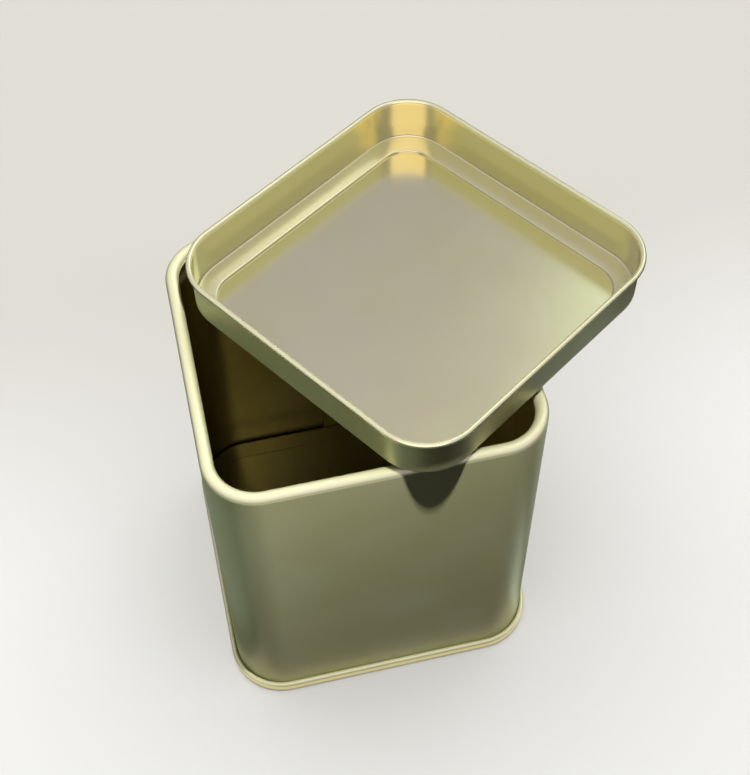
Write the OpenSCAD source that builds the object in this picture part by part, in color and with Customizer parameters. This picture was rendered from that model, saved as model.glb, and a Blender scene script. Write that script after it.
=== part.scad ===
// Square slip-lid spice tin in rolled and stamped tinplate, shown open,
// with its lid lying upside down across the rim.
// Millimetres. The origin is the centre of the base, +Z is up and -Y is the front.

/* [Body] */
// Width of the square body over its outer walls
body_w = 65; // [50:0.5:90]
// Height of the body from the base to the top of the rim
body_h = 78.5; // [45:0.5:130]
// Outer radius of the body's upright corners
corner_r = 10.4; // [7:0.1:16]
// Outer diameter of the inward curl round the rim
rim_d = 2.6; // [1.8:0.1:3.6]
// Width of the upright lock seam on the back wall
lock_seam_w = 3.2; // [2:0.1:5]

/* [Tinplate] */
// Thickness of the sheet
sheet_t = 0.25; // [0.2:0.01:0.32]
// Room between neighbouring layers of sheet in a seam
layer_gap = 0.15; // [0.1:0.01:0.2]

/* [Bottom end] */
// Height of the double seam round the base
seam_h = 3; // [2.6:0.1:4.5]
// Depth that the floor panel sits up inside the seam
floor_depth = 3.1; // [2.4:0.1:5]
// Height of the stamped step in the floor panel
floor_step_h = 0.5; // [0.5:0.05:1]
// Distance of the floor's step from the wall
floor_step_in = 5; // [3:0.5:6]

/* [Lid] */
// Height of the lid from its panel to its curled edge
lid_h = 11; // [7:0.5:20]
// Room between the body's wall and the lid's skirt, on each side
lid_fit = 0.55; // [0.3:0.05:1]
// Outer diameter of the outward curl round the lid's edge
lid_curl_d = 1.1; // [0.8:0.1:1.6]
// Height of the step between the lid's panel and the border round it
lid_step_h = 0.5; // [0.4:0.05:0.8]
// Height that the border rises as it slopes from the step out to the skirt
lid_border_rise = 0.55; // [0.2:0.05:0.7]
// Inner radius where the border turns into the lid's skirt
lid_crown_r = 0.45; // [0.4:0.05:1]

/* [Where the lid lies] */
// Place of the lid's centre to the right of the tin's
lid_x = 14.8; // [5:0.1:18]
// Place of the lid's centre behind the tin's
lid_y = 7.6; // [0:0.1:12]
// Turn of the lid about the upright axis, in degrees
lid_turn = 33.7; // [20:0.1:45]

/* [Hidden] */
$fn = 64;

tin_gold = [0.62, 0.61, 0.42];
end_gold = [0.74, 0.66, 0.42];
compound_grey = [0.45, 0.45, 0.43];
lid_gold = [0.72, 0.70, 0.46];

// Sheet and gap together, the pitch of the layers in a seam
pitch = sheet_t + layer_gap;
body_half = body_w / 2;

// The rim's curl turns in from the wall and stops short of it
rim_r = rim_d / 2;
rim_z = body_h - rim_r;
rim_curl_to = 290;

// The double seam, outwards from the body's wall: cover hook, body hook, seam wall.
// Each U-bend spans two layers, so it has room for the hook that it holds.
hook_in_r = (pitch + layer_gap) / 2;
hook_out_r = hook_in_r + sheet_t;
body_bend_z = pitch + hook_out_r;
cover_bend_z = seam_h - hook_out_r;
hook_end_gap = 0.15;
seam_wall_x = 2 * pitch + layer_gap;
seam_out_x = seam_wall_x + sheet_t;
chuck_x = -sheet_t - pitch;
base_bend_r = 0.25;
floor_bend_r = 0.45;

// Level room that a panel's step has between its two bends
step_riser = 0.06;

// The film of lining compound under the body hook, with its lower corners cut back
// to stay inside the bends of the seam
film_clear = 0.02;
film_cut = 0.8 * base_bend_r;

// The lock seam: four layers of sheet folded inwards, with rounded-off folds, and
// the joint's line open on the outside
lock_layers = 4;
lock_fold = 1.2 * sheet_t;
lock_line_w = 0.35;
lock_line_d = 0.12;
lock_z0 = seam_h + 0.6;
lock_z1 = body_h - rim_d - 0.6;

// The lid slips over the body. Its corners are drawn a little tighter than the
// body's, so that a corner is never the first place to bind.
lid_corner_tighter = 0.3;
lid_half = body_half + lid_fit + sheet_t;
lid_r = corner_r - lid_corner_tighter + sheet_t;
lid_curl_r = lid_curl_d / 2;
lid_curl_from = -80;
// The border is as wide as the rim that seats against it, with room on its inner side
border_room = 0.4;
border_in_x = -sheet_t - lid_fit - rim_d - border_room;

// The lid lies on the rim with a hair of air below it
rest_gap = 0.05;

// Sheet bent round centre c, with its inner face at r_in, over the given angles
module bend(c, r_in, from, to) {
    steps = ceil((to - from) / 60);
    far = 2 * (r_in + sheet_t);
    translate(c) intersection() {
        difference() {
            circle(r = r_in + sheet_t);
            circle(r = r_in);
        }
        polygon(concat([[0, 0]], [for (i = [0:steps])
            let (a = from + (to - from) * i / steps) far * [cos(a), sin(a)]]));
    }
}

// Upright sheet with its inner-side face at x, from z0 to z1
module upright(x, z0, z1) translate([x, z0]) square([sheet_t, z1 - z0]);

// Level sheet with its lower face at z, from x0 to x1
module level(z, x0, x1) translate([x0, z]) square([x1 - x0, sheet_t]);

// Two reversed bends that take level sheet up by h as it runs inwards from x. The
// upper sheet starts at step_end(x, h).
function step_bend_r(h) = (h - sheet_t - step_riser) / 2;
function step_end(x, h) = x - 2 * step_bend_r(h) - sheet_t;
module step(x, z, h) {
    r = step_bend_r(h);
    riser_z = z + sheet_t + r;
    bend([x, riser_z], r, 180, 270);
    upright(x - r - sheet_t, riser_z, riser_z + step_riser);
    bend([step_end(x, h), riser_z + step_riser], r, 0, 90);
}

// Carries a profile round a square with rounded corners: four turned corners and four
// straight walls. x is measured outwards from the square's side, y is height.
module sweep(half, r) {
    for (side = [0:3]) rotate([0, 0, 90 * side]) {
        translate([half - r, half - r, 0])
            rotate_extrude(angle = 90) translate([r, 0]) children();
        translate([half, half - r, 0])
            rotate([90, 0, 0]) linear_extrude(2 * (half - r)) children();
    }
}

module wall_profile() {
    upright(-sheet_t, body_bend_z, rim_z);
    bend([-rim_r, rim_z], rim_r - sheet_t, 0, rim_curl_to);
    bend([hook_in_r, body_bend_z], hook_in_r, 180, 360);
    upright(2 * hook_in_r, body_bend_z, cover_bend_z - hook_end_gap);
}

module lock_seam() {
    w = lock_seam_w / 2;
    inner = body_half - lock_layers * sheet_t;
    outer = body_half - sheet_t / 2;
    translate([0, 0, lock_z0]) linear_extrude(lock_z1 - lock_z0)
        polygon([[-w, outer], [-w, inner + lock_fold], [lock_fold - w, inner],
            [w - lock_fold, inner], [w, inner + lock_fold], [w, outer]]);
}

module body_wall() color(tin_gold) difference() {
    union() {
        sweep(body_half, corner_r) wall_profile();
        lock_seam();
    }
    translate([(lock_seam_w - lock_line_w) / 2, body_half - lock_line_d, lock_z0])
        cube([lock_line_w, 2 * lock_line_d, lock_z1 - lock_z0]);
}

module end_profile() {
    // Cover hook, seam wall and the face that the tin stands on
    upright(layer_gap, body_bend_z + hook_end_gap, cover_bend_z);
    bend([seam_wall_x - hook_in_r, cover_bend_z], hook_in_r, 0, 180);
    upright(seam_wall_x, base_bend_r + sheet_t, cover_bend_z);
    bend([seam_wall_x - base_bend_r, base_bend_r + sheet_t], base_bend_r, 270, 360);
    level(0, chuck_x + sheet_t + base_bend_r, seam_wall_x - base_bend_r);
    bend([chuck_x + sheet_t + base_bend_r, base_bend_r + sheet_t], base_bend_r, 180, 270);
    // Chuck wall, the bend into the floor, and the floor as far as its step
    upright(chuck_x, base_bend_r + sheet_t, floor_depth - floor_bend_r);
    bend([chuck_x - floor_bend_r, floor_depth - floor_bend_r], floor_bend_r, 0, 90);
    level(floor_depth, -floor_step_in, chuck_x - floor_bend_r);
    step(-floor_step_in, floor_depth, floor_step_h);
}

module bottom_end() color(end_gold) {
    sweep(body_half, corner_r) end_profile();
    translate([0, 0, floor_depth + floor_step_h])
        panel(body_half, corner_r, step_end(-floor_step_in, floor_step_h));
}

// A flat sheet that fills the rounded square up to x inside its side
module panel(half, r, x) {
    sweep(half, r) translate([-r, 0]) square([r + x, sheet_t]);
    translate([r - half, r - half, 0]) cube([2 * (half - r), 2 * (half - r), sheet_t]);
}

module seam_compound() color(compound_grey) sweep(body_half, corner_r) {
    x0 = chuck_x + sheet_t + film_clear;
    x1 = seam_wall_x - film_clear;
    z0 = sheet_t + film_clear;
    difference() {
        polygon([[x0, body_bend_z], [x0, z0 + film_cut], [x0 + film_cut, z0],
            [x1 - film_cut, z0], [x1, z0 + film_cut], [x1, body_bend_z]]);
        translate([hook_in_r, body_bend_z]) circle(r = hook_out_r + film_clear);
    }
}

module lid_profile() {
    // Upside down: the panel's outer face is at 0 and the curled edge is at the top
    border_out_x = -lid_crown_r - sheet_t;
    border_out_z = lid_step_h + lid_border_rise;
    crown_z = border_out_z - border_out_x;
    curl_z = lid_h - lid_curl_r;
    bend([lid_curl_r - sheet_t, curl_z], lid_curl_r - sheet_t, lid_curl_from, 180);
    upright(-sheet_t, crown_z, curl_z);
    bend([border_out_x, crown_z], lid_crown_r, 270, 360);
    // The border slopes down inwards, and then steps down to the panel
    polygon([[border_in_x, lid_step_h], [border_out_x, border_out_z],
        [border_out_x, border_out_z + sheet_t], [border_in_x, lid_step_h + sheet_t]]);
    translate([step_end(border_in_x, lid_step_h), 0]) mirror([1, 0]) step(0, 0, lid_step_h);
}

module lid() color(lid_gold)
    translate([lid_x, lid_y, body_h + rest_gap]) rotate([0, 0, lid_turn]) {
        sweep(lid_half, lid_r) lid_profile();
        panel(lid_half, lid_r, step_end(border_in_x, lid_step_h));
    }

body_wall();
bottom_end();
seam_compound();
lid();
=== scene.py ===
"""Square slip-lid spice tin in gold-lacquered tinplate, open, with its lid upside down on the rim.

Every piece is bent sheet: a profile drawn as straight runs and turns, swept round a square
with rounded corners. The sizes that pieces share are the CAD model's, in metres.
"""

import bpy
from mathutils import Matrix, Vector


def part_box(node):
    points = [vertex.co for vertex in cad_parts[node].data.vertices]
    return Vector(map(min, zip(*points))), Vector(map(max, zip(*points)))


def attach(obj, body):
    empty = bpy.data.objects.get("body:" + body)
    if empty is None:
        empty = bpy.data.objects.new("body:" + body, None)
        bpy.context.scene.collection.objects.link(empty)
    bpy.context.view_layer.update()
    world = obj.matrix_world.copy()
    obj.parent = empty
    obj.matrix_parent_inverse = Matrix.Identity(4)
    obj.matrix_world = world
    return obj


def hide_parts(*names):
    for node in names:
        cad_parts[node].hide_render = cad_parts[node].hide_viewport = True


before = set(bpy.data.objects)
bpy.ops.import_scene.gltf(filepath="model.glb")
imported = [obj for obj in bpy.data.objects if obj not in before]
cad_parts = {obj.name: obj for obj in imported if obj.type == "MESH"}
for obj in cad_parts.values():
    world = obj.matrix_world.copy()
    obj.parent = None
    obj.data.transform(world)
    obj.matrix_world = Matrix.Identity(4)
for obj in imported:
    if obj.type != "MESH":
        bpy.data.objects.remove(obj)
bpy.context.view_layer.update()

import math

import bmesh
import bpy
from bpy.props import FloatProperty, FloatVectorProperty, IntProperty, PointerProperty
from mathutils import Matrix, Vector

bl_info = {
    "name": "Square Spice Tin",
    "version": (1, 0, 0),
    "blender": (4, 5, 0),
    "location": "View3D > Sidebar > Spice Tin",
    "description": "Builds a square tinplate tin with a double-seamed base and a slip lid",
    "category": "Add Mesh",
}

MM = 0.001
WALL_LOW, WALL_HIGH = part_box("body_wall")
LID_LOW, LID_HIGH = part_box("lid")
# The body hook is the widest part of the body sheet: it stands this far outside the wall
HOOK_PROUD = 0.8 * MM
# Air between the rim and the lid that lies on it
REST_GAP = 0.05 * MM
# Degrees that the curls turn through: inwards round the mouth, outwards round the lid's edge
RIM_TURN, EDGE_TURN = 290, 260
# Flat that a panel keeps inside its step, and the straight between the step's two bends
PANEL_LEAD, STEP_RISER = 0.4 * MM, 0.06 * MM
# The lock seam stops this far short of the double seam and of the rim's curl
LOCK_END_ROOM = 0.6 * MM
# Width and depth of the joint's line that shows outside, along the lock seam
JOINT_LINE, JOINT_DEPTH = 0.35 * MM, 0.12 * MM
# Slack for telling which face a point belongs to, and how close points are merged
NEAR, MERGE = 0.02 * MM, 0.001 * MM


# ---------------------------------------------------------------- settings


def length(name, about, default):
    return FloatProperty(name=name, description=about, default=default, unit="LENGTH")


def colour(name, about, hex_code):
    return FloatVectorProperty(
        name=name, description=about, subtype="COLOR", size=3, min=0, max=1,
        default=linear(hex_code)[:3],
    )


def linear(hex_code):
    """An sRGB hex colour as linear RGBA."""
    channels = [int(hex_code[i : i + 2], 16) / 255 for i in (1, 3, 5)]
    return [c / 12.92 if c <= 0.04045 else ((c + 0.055) / 1.055) ** 2.4 for c in channels] + [1.0]


class TinSizes(bpy.types.PropertyGroup):
    width: length("Width", "Body across its outer walls", WALL_HIGH.x - WALL_LOW.x - 2 * HOOK_PROUD)
    height: length("Height", "Base to the top of the rim", WALL_HIGH.z)
    corner: length("Corner radius", "Outer radius of the body's upright corners", 10.4 * MM)
    sheet: length("Sheet", "Thickness of the tinplate", 0.25 * MM)
    gap: length("Layer gap", "Room between neighbouring layers in a seam", 0.15 * MM)
    rim: length("Rim curl", "Outer diameter of the curl round the mouth", 2.6 * MM)
    seam: length("Seam height", "Height of the double seam round the base", 3.0 * MM)
    base_bend: length("Base bend", "Inner radius of the bends beside the standing face", 0.25 * MM)
    floor: length("Floor depth", "How far the floor sits up inside the seam", 3.1 * MM)
    floor_bend: length("Floor bend", "Outer radius where the chuck wall turns into the floor", 0.7 * MM)
    floor_step: length("Floor step", "Rise of the stamped step in the floor", 0.5 * MM)
    floor_inset: length("Floor step inset", "Distance of the floor's step from the wall", 5.0 * MM)
    lock_width: length("Lock seam", "Width of the upright lock seam on the back wall", 3.2 * MM)
    corner_steps: IntProperty(name="Corner steps", description="Points round each corner", default=20)


class LidSizes(bpy.types.PropertyGroup):
    height: length("Height", "Panel to curled edge", LID_HIGH.z - LID_LOW.z)
    fit: length("Fit", "Room between the body and the skirt on each side", 0.55 * MM)
    corner: length("Corner radius", "Outer radius of the skirt's upright corners", 10.35 * MM)
    curl: length("Edge curl", "Outer diameter of the curl round the edge", 1.1 * MM)
    crown: length("Crown bend", "Inner radius where the border turns into the skirt", 0.45 * MM)
    border: length("Border", "Skirt's outside to the inner side of the border", 3.8 * MM)
    border_rise: length("Border rise", "How far the border rises from the step to the skirt", 0.55 * MM)
    step: length("Panel step", "Step between the panel and the border", 0.5 * MM)
    turn: FloatProperty(
        name="Turn", description="Turn of the lid where it lies", subtype="ANGLE",
        default=math.radians(33.7),
    )


class TinColours(bpy.types.PropertyGroup):
    outside: colour("Outside lacquer", "Matted olive-gold lacquer on the outside", "#BBBA89")
    outside_end: colour("Outside lacquer, end", "The same, a little warmer on the bottom end", "#C4B587")
    # Pale cream for the tops of the curls and of the double seam: part burnish, part painted highlight
    burnish_and_highlight: colour("Burnished curls, painted highlight", "Lacquer stretched thin and rubbed pale", "#EFECBE")
    inside: colour("Inside lacquer", "Clear gold lacquer inside the tin", "#C9BE7C")
    lid_inside: colour("Inside lacquer, lid", "Clear gold lacquer inside the lid", "#E7E2B1")
    compound: colour("Lining compound", "Cured compound in the double seam", "#6E6D69")


class StageSettings(bpy.types.PropertyGroup):
    floor: colour("Floor", "Pale matt floor", "#F2F1EF")
    far_floor: colour("Far floor", "Warmer tone that the floor fades to", "#D9D6CE")
    mirrored: colour("Mirrored floor", "Tone of the floor as the metal mirrors it", "#2C2D25")
    key_power: FloatProperty(name="Key light", description="Small lamp nearly overhead", default=4.8)
    floor_power: FloatProperty(name="Floor light", description="Soft light on the floor", default=26.0)
    back_power: FloatProperty(name="Back softbox", description="Soft light behind, to the right", default=3.4)
    front_power: FloatProperty(name="Front softbox", description="Soft light over the camera", default=7.5)
    side_power: FloatProperty(name="Side softboxes", description="Soft light on both sides", default=0.34)
    top_power: FloatProperty(name="Top softbox", description="Soft light on the border", default=0.5)
    fill_power: FloatProperty(name="Fills", description="Soft light on the sides and back", default=9.0)
    sky: FloatProperty(name="Sky", description="Strength of the even surroundings", default=0.52)
    lens: FloatProperty(name="Lens", description="Focal length in mm on a 36 mm frame", default=62.43)


# ---------------------------------------------------------------- sheet profiles


class Fold:
    """The middle line of a bent sheet, drawn like a pen: x is outwards, z is up."""

    ARC_STEP = math.radians(12)
    BRACE = 0.12 * MM

    def __init__(self, x, z, heading):
        self.x, self.z, self.heading = x, z, math.radians(heading)
        self.points = [(x, z, self.heading)]

    def _go(self, distance):
        self.x += distance * math.cos(self.heading)
        self.z += distance * math.sin(self.heading)
        self.points.append((self.x, self.z, self.heading))

    def run(self, distance):
        """Straight on, with points near both ends so that the flat shades flat."""
        brace = min(self.BRACE, distance / 4)
        for part in (brace, distance - 2 * brace, brace):
            self._go(part)
        return self

    def turn(self, radius, degrees):
        """Round a bend: positive turns left, and radius is the middle line's."""
        angle = math.radians(degrees)
        side = math.copysign(1, angle)
        centre_x = self.x - side * radius * math.sin(self.heading)
        centre_z = self.z + side * radius * math.cos(self.heading)
        steps = max(2, math.ceil(abs(angle) / self.ARC_STEP))
        for _ in range(steps):
            self.heading += angle / steps
            self.x = centre_x + side * radius * math.sin(self.heading)
            self.z = centre_z - side * radius * math.cos(self.heading)
            self.points.append((self.x, self.z, self.heading))
        return self

    def outline(self, sheet, open_start=False):
        """Points round the sheet. An open start leaves out the cap there, for a panel."""
        half = sheet / 2

        def aside(point, angle, reach=half):
            x, z, heading = point
            return (x + reach * math.cos(heading + angle), z + reach * math.sin(heading + angle))

        left = [aside(p, math.pi / 2) for p in self.points]
        right = [aside(p, -math.pi / 2) for p in self.points]
        tip = [aside(self.points[-1], a) for a in (math.pi / 4, 0, -math.pi / 4)]
        if open_start:
            return left + tip + right[::-1]
        tail = [aside(self.points[0], a) for a in (-3 * math.pi / 4, math.pi, 3 * math.pi / 4)]
        return left + tip + right[::-1] + tail


def seam_bends(s):
    """The double seam's pitch of layers, the middle-line radius of its two U-bends, and the
    height of the upper one's centre."""
    pitch = s.sheet + s.gap
    hook = pitch / 2 + s.gap / 2 + s.sheet / 2
    return pitch, hook, s.seam - hook - s.sheet / 2


def step_bend(height):
    """Middle-line radius of a step's two bends. The step is two of these wide."""
    return (height - STEP_RISER) / 2


def wall_fold(s):
    """Body hook, the bend under it, the wall, and the curl turned in round the mouth."""
    pitch, hook, cover_bend = seam_bends(s)
    base = pitch + hook + s.sheet / 2
    top = s.height - s.rim / 2
    fold = Fold(2 * hook - s.sheet / 2, cover_bend - s.gap, -90)
    fold.run(cover_bend - s.gap - base).turn(hook, -180)
    return fold.run(top - base).turn(s.rim / 2 - s.sheet / 2, RIM_TURN)


def end_fold(s):
    """Floor, its step, the chuck wall, the standing face, the seam wall and the cover hook."""
    pitch, hook, cover_bend = seam_bends(s)
    chuck = -s.sheet / 2 - pitch
    seam_wall = 3 * pitch - s.sheet / 2
    bend = s.base_bend + s.sheet / 2
    floor_bend = s.floor_bend - s.sheet / 2
    step = step_bend(s.floor_step)
    fold = Fold(-s.floor_inset - 2 * step - PANEL_LEAD, s.floor + s.floor_step + s.sheet / 2, 0)
    fold.run(PANEL_LEAD).turn(step, -90).run(STEP_RISER).turn(step, 90)
    fold.run(s.floor_inset + chuck - floor_bend).turn(floor_bend, -90)
    fold.run(s.floor - floor_bend - bend).turn(bend, 90)
    fold.run(seam_wall - chuck - 2 * bend).turn(bend, 90)
    fold.run(cover_bend - bend - s.sheet / 2).turn(hook, 180)
    return fold.run(cover_bend - pitch - hook - s.sheet / 2 - s.gap)


def lid_fold(lid, sheet):
    """The lid upside down: panel, a step up, the sloped border, the skirt and the edge curl."""
    step = step_bend(lid.step)
    crown = lid.crown + sheet / 2
    slope = math.atan2(lid.border_rise, lid.border - lid.crown - sheet)
    steep = 90 - math.degrees(slope)
    fold = Fold(-lid.border - 2 * step - PANEL_LEAD, sheet / 2, 0)
    fold.run(PANEL_LEAD).turn(step, 90).run(STEP_RISER).turn(step, -steep)
    across = -sheet / 2 - crown * (1 - math.sin(slope)) - fold.x
    fold.run(across / math.cos(slope)).turn(crown, steep)
    fold.run(lid.height - lid.curl / 2 - fold.z)
    return fold.turn(lid.curl / 2 - sheet / 2, -EDGE_TURN)


def lock_span(s):
    """Where the lock seam starts and ends, in height."""
    return s.seam + LOCK_END_ROOM, s.height - s.rim - LOCK_END_ROOM


# ---------------------------------------------------------------- making pieces


def put(tree, kind, sockets=None, **settings):
    """Adds a node, with its settings and with values or links for its inputs."""
    node = tree.nodes.new(kind)
    for name, value in settings.items():
        setattr(node, name, value)
    for name, value in (sockets or {}).items():
        if isinstance(value, bpy.types.NodeSocket):
            tree.links.new(value, node.inputs[name])
        else:
            node.inputs[name].default_value = value
    return node


def sweep_tree():
    """Geometry nodes that carry a sheet's profile round a square with rounded corners."""
    tree = bpy.data.node_groups.new("Rounded square sweep", "GeometryNodeTree")
    face = tree.interface
    face.new_socket("Geometry", in_out="OUTPUT", socket_type="NodeSocketGeometry")
    for name, kind in (
        ("Geometry", "Geometry"), ("Profile", "Object"), ("Width", "Float"),
        ("Corner Radius", "Float"), ("Corner Steps", "Int"), ("Material", "Material"),
    ):
        face.new_socket(name, in_out="INPUT", socket_type="NodeSocket" + kind)
    given = put(tree, "NodeGroupInput").outputs
    square = put(tree, "GeometryNodeCurvePrimitiveQuadrilateral",
                 {"Width": given["Width"], "Height": given["Width"]}, mode="RECTANGLE")
    rounded = put(tree, "GeometryNodeFilletCurve", {
        "Curve": square.outputs[0], "Radius": given["Corner Radius"], "Count": given["Corner Steps"],
    }, mode="POLY")
    level = put(tree, "GeometryNodeSetCurveNormal", {"Curve": rounded.outputs[0]}, mode="Z_UP")
    profile = put(tree, "GeometryNodeObjectInfo", {"Object": given["Profile"]})
    swept = put(tree, "GeometryNodeCurveToMesh", {
        "Curve": level.outputs[0], "Profile Curve": profile.outputs["Geometry"],
    })
    smooth = put(tree, "GeometryNodeSetShadeSmooth", {"Geometry": swept.outputs[0]})
    real = put(tree, "GeometryNodeRealizeInstances", {"Geometry": smooth.outputs[0]})
    dressed = put(tree, "GeometryNodeSetMaterial", {
        "Geometry": real.outputs[0], "Material": given["Material"],
    })
    put(tree, "NodeGroupOutput", {"Geometry": dressed.outputs[0]})
    return tree


def profile_object(name, points, closed):
    """A profile as a poly curve, in the plane that the sweep reads: x outwards, y down."""
    curve = bpy.data.curves.new(name, "CURVE")
    spline = curve.splines.new("POLY")
    spline.points.add(len(points) - 1)
    spline.points.foreach_set("co", [v for x, z in points for v in (x, -z, 0, 1)])
    spline.use_cyclic_u = closed
    piece = bpy.data.objects.new(name, curve)
    bpy.context.scene.collection.objects.link(piece)
    return piece


def link_mesh(name, mesh):
    piece = bpy.data.objects.new(name, mesh)
    bpy.context.scene.collection.objects.link(piece)
    return piece


def swept_sheet(name, points, closed, width, corner, steps, material):
    """Sweeps a profile with geometry nodes and returns the result as a plain mesh."""
    profile = profile_object(name + "_profile", points, closed)
    carrier = link_mesh(name + "_carrier", bpy.data.meshes.new(name + "_carrier"))
    modifier = carrier.modifiers.new("Sweep", "NODES")
    modifier.node_group = tree = sweep_tree()
    values = {"Profile": profile, "Width": width, "Corner Radius": corner,
              "Corner Steps": steps, "Material": material}
    for item in tree.interface.items_tree:
        if item.in_out == "INPUT" and item.name in values:
            modifier[item.identifier] = values[item.name]
    bpy.context.view_layer.update()
    graph = bpy.context.evaluated_depsgraph_get()
    mesh = bpy.data.meshes.new_from_object(carrier.evaluated_get(graph))
    mesh.name = name
    for scrap in (carrier, profile):
        bpy.data.objects.remove(scrap)
    bpy.data.node_groups.remove(tree)
    return mesh


def cut_across(bm, at, normal, keep=lambda face: True):
    """Cuts the chosen faces along a plane, for vertices to stand or move on."""
    faces = [f for f in bm.faces if keep(f)]
    edges = {e for f in faces for e in f.edges}
    verts = {v for f in faces for v in f.verts}
    bmesh.ops.bisect_plane(
        bm, geom=[*faces, *edges, *verts], dist=MERGE, plane_co=at, plane_no=normal)


def finish_sheet(mesh, straight_to, panel):
    """Braces the straight sides beside the corners, fills a panel, and turns the faces out.
    The result is an open bmesh, for more cuts and for dressing."""
    bm = bmesh.new()
    bm.from_mesh(mesh)
    bmesh.ops.remove_doubles(bm, verts=bm.verts, dist=MERGE)
    brace = straight_to - Fold.BRACE
    for axis in (Vector((1, 0, 0)), Vector((0, 1, 0))):
        for side in (-1, 1):
            cut_across(bm, axis * side * brace, axis)
    if panel:
        bmesh.ops.holes_fill(bm, edges=[e for e in bm.edges if e.is_boundary], sides=0)
    bmesh.ops.recalc_face_normals(bm, faces=bm.faces)
    for face in bm.faces:
        face.smooth = True
    return bm


def dress(bm, mesh, outside, inside, is_inside):
    """Gives the sheet's two sides their own lacquers."""
    mesh.materials.clear()
    for metal in (outside, inside):
        mesh.materials.append(metal)
    for face in bm.faces:
        face.material_index = int(is_inside(face.calc_center_median(), face.normal))


def proud(point, half, corner):
    """How far a point stands outside a square with rounded corners: negative is inside."""
    x, y = (abs(v) - half + corner for v in point[:2])
    return math.hypot(max(x, 0), max(y, 0)) + min(max(x, y), 0) - corner


def looks_inside(point, normal, half, corner):
    """Whether a face of an upturned lid belongs to its inside: it looks up or inwards."""
    near = 0.1 * MM
    outwards = proud(point + near * normal, half, corner) - proud(point, half, corner)
    return normal.z > outwards / near


def hand_over(bm, mesh):
    """Writes a finished bmesh to its mesh and gives the mesh its object."""
    bm.to_mesh(mesh)
    bm.free()
    mesh.update()
    return link_mesh(mesh.name, mesh)


# ---------------------------------------------------------------- materials

# The pale burnish, which also paints a highlight on the tops of curls and seam, comes in over this height,
# and leaves so thin a coat that the metal shows
BURNISH_HIGHLIGHT_FADE, BURNISH_HIGHLIGHT_METALLIC = 0.4 * MM, 0.9
# Behind the tin's middle, the paper takes this many metres to fade to its warmer tone
PAPER_FADE = 0.1


def new_material(name):
    material = bpy.data.materials.new(name)
    material.use_nodes = True
    tree = material.node_tree
    tree.nodes.clear()
    return material, tree


def lacquered_tinplate(name, lacquer, metallic, roughness, burnish_and_highlight=None, above=0.0,
                       wave=0.1, centre=(0, 0, 0), turn=0.0):
    """Tinplate, cold rolled and roller-coated with gold lacquer: a satin metal that blurs
    reflections, with fine rolling lines and a slow change of tone where the coat is thinner.
    Above the given height the colour turns pale and more metallic: partly burnish where the coat is stretched
    thin on the curls, partly a painted highlight on the tops of curls and seam."""
    material, tree = new_material(name)
    where = put(tree, "ShaderNodeTexCoord").outputs["Object"]
    placed = put(tree, "ShaderNodeMapping", {
        "Vector": where, "Location": centre, "Rotation": (0, 0, turn),
    }, vector_type="TEXTURE").outputs[0]

    def noise(size_mm, stretch=(1, 1, 1), detail=2.0):
        scaled = put(tree, "ShaderNodeVectorMath", {0: placed, 1: stretch}, operation="MULTIPLY")
        return put(tree, "ShaderNodeTexNoise", {
            "Vector": scaled.outputs[0], "Scale": 1 / (size_mm * MM), "Detail": detail,
        }).outputs["Fac"]

    def spread(value, low, high, floor=0.35, ceiling=0.65, kind="LINEAR"):
        return put(tree, "ShaderNodeMapRange", {
            "Value": value, "From Min": floor, "From Max": ceiling, "To Min": low, "To Max": high,
        }, interpolation_type=kind).outputs[0]

    def blend(factor, one, two):
        return put(tree, "ShaderNodeMix", {"Factor": factor, 6: one, 7: two},
                   data_type="RGBA").outputs[2]

    # Coat thickness drifts by a few hundredths over about 18 mm, as a roller leaves it.
    # Where it is thin it keeps this share of its colour
    kept = 0.93
    thin = [1 - kept * (1 - c) for c in lacquer]
    tone = blend(spread(noise(18, detail=3), 0, 1), (*lacquer, 1), (*thin, 1))
    shine = metallic
    # Above the given height: burnish, and a painted highlight on the tops of curls and seam
    if burnish_and_highlight:
        height = put(tree, "ShaderNodeSeparateXYZ", {0: where}).outputs["Z"]
        rubbed_and_highlight = spread(height, 0, 1, above, above + BURNISH_HIGHLIGHT_FADE, "SMOOTHSTEP")
        tone = blend(rubbed_and_highlight, tone, (*burnish_and_highlight, 1))
        shine = spread(rubbed_and_highlight, metallic, BURNISH_HIGHLIGHT_METALLIC, 0, 1)
    # Rolling lines are far finer than this on real sheet: 0.3 mm is drawn so that they show
    grain = noise(0.3, stretch=(0.03, 0.03, 1), detail=3)
    rough = put(tree, "ShaderNodeMath", {
        0: spread(noise(7, detail=4), roughness - 0.01, roughness + 0.01),
        1: spread(grain, -0.01, 0.01),
    }, operation="ADD").outputs[0]
    # The sheet is never quite flat: slow waves, 30 mm across, bend its reflections
    waves = put(tree, "ShaderNodeBump", {
        "Height": noise(30, detail=0), "Strength": 0.5, "Distance": wave * MM,
    }).outputs[0]
    shader = put(tree, "ShaderNodeBsdfPrincipled", {
        "Base Color": tone, "Metallic": shine, "Roughness": rough, "Normal": waves,
        "Coat Weight": 0.1, "Coat Roughness": 0.25,
    })
    put(tree, "ShaderNodeOutputMaterial", {"Surface": shader.outputs[0]})
    return material


def lining_compound(name, tone):
    """Water-based lining compound, cured: matt, rubbery and a little uneven in tone."""
    material, tree = new_material(name)
    where = put(tree, "ShaderNodeTexCoord").outputs["Object"]
    speck = put(tree, "ShaderNodeTexNoise", {"Vector": where, "Scale": 1 / (0.8 * MM)}).outputs["Fac"]
    dark = [0.7 * c for c in tone]
    mixed = put(tree, "ShaderNodeMix", {"Factor": speck, 6: (*dark, 1), 7: (*tone, 1)},
                data_type="RGBA").outputs[2]
    shader = put(tree, "ShaderNodeBsdfPrincipled", {"Base Color": mixed, "Roughness": 0.8})
    put(tree, "ShaderNodeOutputMaterial", {"Surface": shader.outputs[0]})
    return material


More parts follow.
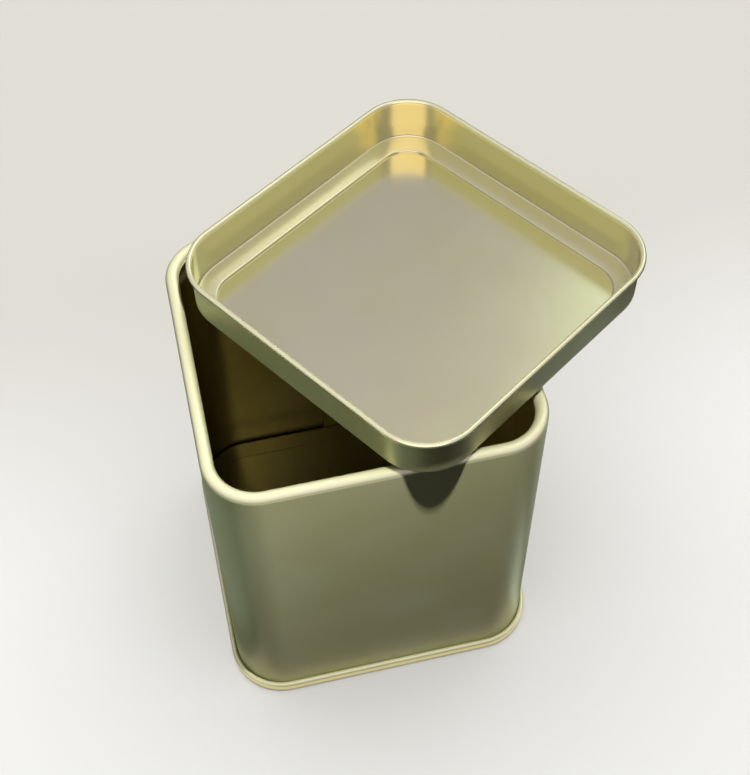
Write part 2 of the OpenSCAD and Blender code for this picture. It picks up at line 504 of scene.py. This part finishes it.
def matt_paper(name, near, far, mirrored):
    """Matt paper sweep: near-white by the tin, fading to a warmer grey behind it. Rays that
    bounce off the tin find a darker tone, as if black card stood just out of view."""
    material, tree = new_material(name)
    where = put(tree, "ShaderNodeTexCoord").outputs["Object"]
    depth = put(tree, "ShaderNodeSeparateXYZ", {0: where}).outputs["Y"]
    fade = put(tree, "ShaderNodeMapRange", {
        "Value": depth, "From Min": 0.0, "From Max": PAPER_FADE, "To Min": 0.0, "To Max": 1.0,
    }, interpolation_type="SMOOTHSTEP").outputs[0]
    paper = put(tree, "ShaderNodeMix", {"Factor": fade, 6: (*near, 1), 7: (*far, 1)},
                data_type="RGBA").outputs[2]
    tone = put(tree, "ShaderNodeMix", {
        "Factor": put(tree, "ShaderNodeLightPath").outputs["Is Camera Ray"], 6: (*mirrored, 1), 7: paper,
    }, data_type="RGBA").outputs[2]
    shader = put(tree, "ShaderNodeBsdfPrincipled", {
        "Base Color": tone, "Roughness": 0.9, "Specular IOR Level": 0.1,
    })
    put(tree, "ShaderNodeOutputMaterial", {"Surface": shader.outputs[0]})
    return material


# ---------------------------------------------------------------- operators


class TIN_OT_body(bpy.types.Operator):
    """Build the rolled body with its rim curl, body hook and lock seam"""

    bl_idname = "spice_tin.body"
    bl_label = "Body"

    def execute(self, context):
        s, tones = context.scene.tin_sizes, context.scene.tin_colours
        # The rim curl's upper half is painted pale: burnish, and a painted highlight where the light falls on
        # it
        metal = lacquered_tinplate(
            "matted gold lacquered tinplate, body", tones.outside, metallic=0.5, roughness=0.45,
            burnish_and_highlight=tones.burnish_and_highlight, above=s.height - s.rim / 2)
        lining = lacquered_tinplate(
            "clear gold lacquered tinplate, body", tones.inside, metallic=0.97, roughness=0.3)
        outline = wall_fold(s).outline(s.sheet)
        mesh = swept_sheet("tin_body", outline, True, s.width, s.corner, s.corner_steps, metal)
        bm = finish_sheet(mesh, s.width / 2 - s.corner, panel=False)
        self.score_joint(bm, s)
        dress(bm, mesh, metal, lining, lambda at, normal: (
            at.z < s.height - s.rim / 2 and proud(at, s.width / 2, s.corner) < -0.6 * s.sheet))
        wall = hand_over(bm, mesh)
        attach(wall, "tin")
        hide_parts("body_wall")
        seam = self.lock_seam(s, lining)
        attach(seam, "tin")
        return {"FINISHED"}

    @staticmethod
    def score_joint(bm, s):
        """Presses the joint's line into the outside of the back wall, deepest in its middle."""
        half, centre = s.width / 2, s.lock_width / 2
        low, high = lock_span(s)
        reach = 0.55 * JOINT_LINE

        def back_wall(face):
            middle = face.calc_center_median()
            return middle.y > half - NEAR and abs(middle.x) < half - s.corner

        for share in (-1, -0.5, 0, 0.5, 1):
            cut_across(bm, Vector((centre + share * JOINT_LINE, 0, 0)), Vector((1, 0, 0)), back_wall)
        for z in (low - JOINT_LINE, low, high, high + JOINT_LINE):
            cut_across(bm, Vector((0, 0, z)), Vector((0, 0, 1)), back_wall)
        for v in bm.verts:
            aside = abs(v.co.x - centre)
            if v.co.y > half - NEAR and aside < reach and low - NEAR < v.co.z < high + NEAR:
                v.co.y -= JOINT_DEPTH * (1 - aside / reach)

    @staticmethod
    def lock_seam(s, metal):
        """The folded layers on the inside of the back wall, which is the fourth."""
        inner = s.width / 2 - s.sheet
        half, layers = s.lock_width / 2, 3
        bead = s.sheet / 2
        section = []
        for side in (-1, 1):
            ring = []
            for layer in range(layers):
                middle = inner - (layer + 0.5) * s.sheet
                for angle in map(math.radians, (60, 0, -60)):
                    x = half - bead + bead * math.cos(angle)
                    ring.append((side * x, middle + bead * math.sin(angle)))
            section += ring if side > 0 else ring[::-1]
        bm = bmesh.new()
        rings = [[bm.verts.new((x, y, z)) for x, y in section] for z in lock_span(s)]
        count = len(section)
        for i in range(count):
            j = (i + 1) % count
            bm.faces.new((rings[0][i], rings[0][j], rings[1][j], rings[1][i]))
        for ring in rings:
            bm.faces.new(ring)
        bmesh.ops.recalc_face_normals(bm, faces=bm.faces)
        mesh = bpy.data.meshes.new("tin_lock_seam")
        mesh.materials.append(metal)
        return hand_over(bm, mesh)


class TIN_OT_bottom(bpy.types.Operator):
    """Build the stamped bottom end with its half of the double seam"""

    bl_idname = "spice_tin.bottom"
    bl_label = "Bottom End"

    def execute(self, context):
        s, tones = context.scene.tin_sizes, context.scene.tin_colours
        # Above a third of its height the seam is painted pale: part burnish, part painted highlight and
        # reflection; the lowest third stays darker, as painted shade at the floor
        metal = lacquered_tinplate(
            "matted gold lacquered tinplate, bottom end", tones.outside_end, metallic=0.6,
            roughness=0.4, burnish_and_highlight=tones.burnish_and_highlight, above=0.3 * s.seam)
        lining = lacquered_tinplate(
            "clear gold lacquered tinplate, bottom end", tones.inside, metallic=0.97, roughness=0.3)
        outline = end_fold(s).outline(s.sheet, open_start=True)
        mesh = swept_sheet("tin_bottom", outline, False, s.width, s.corner, s.corner_steps, metal)
        bm = finish_sheet(mesh, s.width / 2 - s.corner, panel=True)
        dress(bm, mesh, metal, lining, lambda at, normal: (
            at.z > s.floor_bend and proud(at, s.width / 2, s.corner) < -s.sheet and normal.z > -0.5))
        bottom = hand_over(bm, mesh)
        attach(bottom, "tin")
        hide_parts("bottom_end")
        return {"FINISHED"}


class TIN_OT_compound(bpy.types.Operator):
    """Give the ring of lining compound inside the double seam its finish"""

    bl_idname = "spice_tin.compound"
    bl_label = "Lining Compound"

    def execute(self, context):
        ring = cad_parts["seam_compound"].data
        ring.materials.clear()
        ring.materials.append(lining_compound("cured lining compound", context.scene.tin_colours.compound))
        return {"FINISHED"}


class TIN_OT_lid(bpy.types.Operator):
    """Build the drawn lid and lay it upside down across the rim"""

    bl_idname = "spice_tin.lid"
    bl_label = "Lid"

    def execute(self, context):
        s, lid, tones = context.scene.tin_sizes, context.scene.lid_sizes, context.scene.tin_colours
        centre = (LID_LOW + LID_HIGH) / 2
        place = {"centre": (centre.x, centre.y, 0), "turn": lid.turn}
        # The top of the lid's edge curl is painted pale: burnish, and a painted highlight where the light
        # falls on it
        rubbed_and_highlight = {"burnish_and_highlight": tones.burnish_and_highlight, "above": LID_HIGH.z - lid.curl}
        metal = lacquered_tinplate("matted gold lacquered tinplate, lid", tones.outside,
                                   metallic=0.6, roughness=0.4, **rubbed_and_highlight, **place)
        lining = lacquered_tinplate("clear gold lacquered tinplate, lid", tones.lid_inside,
                                    metallic=1.0, roughness=0.2, wave=0.04, **rubbed_and_highlight, **place)
        width = s.width + 2 * (lid.fit + s.sheet)
        outline = lid_fold(lid, s.sheet).outline(s.sheet, open_start=True)
        mesh = swept_sheet("tin_lid", outline, False, width, lid.corner, s.corner_steps, metal)
        bm = finish_sheet(mesh, width / 2 - lid.corner, panel=True)
        dress(bm, mesh, metal, lining, lambda at, normal: (
            looks_inside(at, normal, width / 2, lid.corner) or at.z > lid.height - lid.curl / 2))
        rest = Matrix.Translation((centre.x, centre.y, s.height + REST_GAP))
        bm.transform(rest @ Matrix.Rotation(lid.turn, 4, "Z"))
        piece = hand_over(bm, mesh)
        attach(piece, "loose_lid")
        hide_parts("lid")
        return {"FINISHED"}


class TIN_OT_stage(bpy.types.Operator):
    """Set the floor, the lights and the camera"""

    bl_idname = "spice_tin.stage"
    bl_label = "Stage"

    def execute(self, context):
        scene, stage = context.scene, context.scene.tin_stage
        scene.view_settings.view_transform = "Standard"
        paper = self.floor(stage)
        self.sky(scene, stage)
        self.light_floor(stage, paper)
        self.light_tin(stage)
        self.lay_cards()
        self.camera(scene, stage)
        return {"FINISHED"}

    def light_floor(self, stage, paper):
        """Two wide lamps. Nothing but the paper blocks the second one, so it casts no shadow, as
        if its light came in from every side."""
        place, size = (0, 0.1, 1.4), 3.0
        self.lamp("floor_light", place, size, stage.floor_power, [paper])
        even = self.lamp("even_floor_light", place, size, stage.floor_power, [paper])
        even.light_linking.blocker_collection = even.light_linking.receiver_collection

    def light_tin(self, stage):
        """A small lamp overhead that draws the lid's shadow, fills that the metal doesn't
        mirror, and softboxes, most of them for the bands of light in the lid."""
        body, bottom, lid = (bpy.data.objects[name] for name in ("tin_body", "tin_bottom", "tin_lid"))
        tin = [body, bottom, lid]
        overhead, bulb, aim = (0.012, -0.06, 0.29), 0.006, (-0.3, -0.033, 0.07)
        lid_power = 0.45 * stage.key_power
        key = self.lamp("key_light", overhead, bulb, stage.key_power, [body, bottom], aim=aim)
        lid_key = self.lamp("lid_key_light", overhead, bulb, lid_power, [lid], aim=aim)
        fills = [self.lamp(name, place, 1.0, stage.fill_power, lit, tint) for name, place, lit, tint in (
            ("left_fill", (-1.1, 0.15, 0.9), tin, "#EFFFE4"),
            ("lid_fill", (-1.2, 0.3, 0.25), [lid], "#EFFFE4"),
            ("back_fill", (0.2, 1.3, 0.6), tin, "#FFF0EC"),
            ("right_fill", (1.4, 0.4, 0.5), tin, "#FFF0EC"),
        )]
        for lamp in (key, lid_key, *fills):
            lamp.visible_glossy = False
        self.lamp("back_softbox", (1.2, 0.9, 1.2), 1.2, stage.back_power, tin, "#E2FFE2")
        for name, place, size, power, tint in (
            ("front_softbox", (-0.25, -1.0, 1.0), 1.6, stage.front_power, "#FFE3D6"),
            ("right_softbox", (1.1, -0.3, 1.15), 0.8, stage.side_power, "#F0FF90"),
            ("left_softbox", (-1.1, 0.05, 1.1), 0.8, stage.side_power, "#F0FF90"),
            ("top_softbox", (0.45, 0.5, 1.4), 0.35, stage.top_power, "#FFFBD8"),
        ):
            self.lamp(name, place, size, power, [lid], tint).visible_diffuse = False

    def lay_cards(self):
        """Pale cards round the tin, mirrored in its lower walls and as streaks in its corners."""
        for name, low, high, strength, tint in (
            ("left_card", (-0.11, -0.08), (-0.045, 0.03), 0.36, "#EDFFF0"),
            ("front_card", (-0.045, -0.11), (-0.015, -0.06), 0.25, "#EDFFF0"),
            ("right_card", (0.045, -0.02), (0.12, 0.03), 0.6, "#EDFFF0"),
            ("corner_card", (0.036, -0.034), (0.06, -0.028), 1.8, "#EDFFF0"),
            ("base_card", (-0.0356, -0.0356), (0.0356, 0.0356), 0.8, "#FFF6D8"),
        ):
            self.card(name, low, high, strength, tint)

    @staticmethod
    def floor(stage):
        """A sheet of paper, six metres square, that the tin stands on."""
        bm = bmesh.new()
        bmesh.ops.create_grid(bm, x_segments=1, y_segments=1, size=3.0)
        mesh = bpy.data.meshes.new("paper_floor")
        mesh.materials.append(matt_paper(
            "matt paper sweep", stage.floor, stage.far_floor, stage.mirrored))
        paper = hand_over(bm, mesh)
        return paper

    @staticmethod
    def sky(scene, stage):
        """A dome that lights nothing but shows in the metal, half as bright again overhead. The
        camera sees it evenly bright."""
        tint, seen_strength = linear("#EBE6FF"), 0.75
        scene.world = world = bpy.data.worlds.new("pale studio")
        world.use_nodes = True
        world.node_tree.nodes.clear()
        tree = world.node_tree
        up = put(tree, "ShaderNodeSeparateXYZ", {
            0: put(tree, "ShaderNodeTexCoord").outputs["Generated"],
        }).outputs["Z"]
        dome = put(tree, "ShaderNodeMapRange", {
            "Value": up, "From Min": 0.65, "From Max": 0.95,
            "To Min": stage.sky, "To Max": 1.5 * stage.sky,
        }).outputs[0]
        seen = put(tree, "ShaderNodeLightPath").outputs["Is Camera Ray"]
        strength = put(tree, "ShaderNodeMix", {"Factor": seen, "A": dome, "B": seen_strength}).outputs[0]
        glow = put(tree, "ShaderNodeBackground", {"Color": tint, "Strength": strength})
        put(tree, "ShaderNodeOutputWorld", {"Surface": glow.outputs[0]})
        world.cycles_visibility.diffuse = False

    @staticmethod
    def lamp(name, place, size, power, lit, tint="#FFFFFF", aim=(0, 0, 0.07)):
        """A square lamp that lights only the given pieces."""
        data = bpy.data.lights.new(name, "AREA")
        data.shape, data.size, data.energy, data.color = "SQUARE", size, power, linear(tint)[:3]
        lamp = bpy.data.objects.new(name, data)
        back = Vector(place) - Vector(aim)
        lamp.matrix_world = Matrix.Translation(place) @ back.to_track_quat("Z", "Y").to_matrix().to_4x4()
        lamp.light_linking.receiver_collection = group = bpy.data.collections.new(name + " lights")
        for piece in lit:
            group.objects.link(piece)
        bpy.context.scene.collection.objects.link(lamp)
        return lamp

    @staticmethod
    def card(name, low, high, strength, tint):
        """A pale card lying on the floor, that only mirrored rays find."""
        lift = 0.2 * MM
        material, tree = new_material("pale card")
        glow = put(tree, "ShaderNodeEmission", {"Color": linear(tint), "Strength": strength})
        put(tree, "ShaderNodeOutputMaterial", {"Surface": glow.outputs[0]})
        bm = bmesh.new()
        corners = ((low[0], low[1]), (high[0], low[1]), (high[0], high[1]), (low[0], high[1]))
        bm.faces.new([bm.verts.new((x, y, lift)) for x, y in corners])
        mesh = bpy.data.meshes.new(name)
        mesh.materials.append(material)
        card = hand_over(bm, mesh)
        card.visible_camera = card.visible_diffuse = card.visible_shadow = False

    @staticmethod
    def camera(scene, stage):
        """Stands in front, a little to the left, and looks down at the tin by 54 degrees."""
        place = (-0.029545, -0.157076, 0.279823)
        yaw, pitch, roll = 0.2151, 0.9387, -0.0155
        data = bpy.data.cameras.new("camera")
        data.lens, data.sensor_width = stage.lens, 36
        camera = bpy.data.objects.new("camera", data)
        turn = Matrix.Rotation(-yaw, 4, "Z") @ Matrix.Rotation(math.pi / 2 - pitch, 4, "X")
        camera.matrix_world = Matrix.Translation(place) @ turn @ Matrix.Rotation(roll, 4, "Z")
        scene.collection.objects.link(camera)
        scene.camera = camera


class TIN_PT_panel(bpy.types.Panel):
    """Lists the pieces of the tin"""

    bl_label = "Spice Tin"
    bl_idname = "TIN_PT_panel"
    bl_space_type = "VIEW_3D"
    bl_region_type = "UI"
    bl_category = "Spice Tin"

    def draw(self, context):
        for operator in OPERATORS:
            self.layout.operator(operator.bl_idname)
        for settings in (context.scene.tin_sizes, context.scene.lid_sizes,
                         context.scene.tin_colours, context.scene.tin_stage):
            for name in settings.__annotations__:
                self.layout.prop(settings, name)


OPERATORS = (TIN_OT_body, TIN_OT_bottom, TIN_OT_compound, TIN_OT_lid, TIN_OT_stage)
GROUPS = {"tin_sizes": TinSizes, "lid_sizes": LidSizes, "tin_colours": TinColours,
          "tin_stage": StageSettings}
CLASSES = (*GROUPS.values(), *OPERATORS, TIN_PT_panel)


def register():
    for cls in CLASSES:
        bpy.utils.register_class(cls)
    for name, group in GROUPS.items():
        setattr(bpy.types.Scene, name, PointerProperty(type=group))


def unregister():
    for name in GROUPS:
        delattr(bpy.types.Scene, name)
    for cls in reversed(CLASSES):
        bpy.utils.unregister_class(cls)


def main():
    register()
    for name in ("body", "bottom", "compound", "lid", "stage"):
        getattr(bpy.ops.spice_tin, name)()


if __name__ == "__main__":
    main()
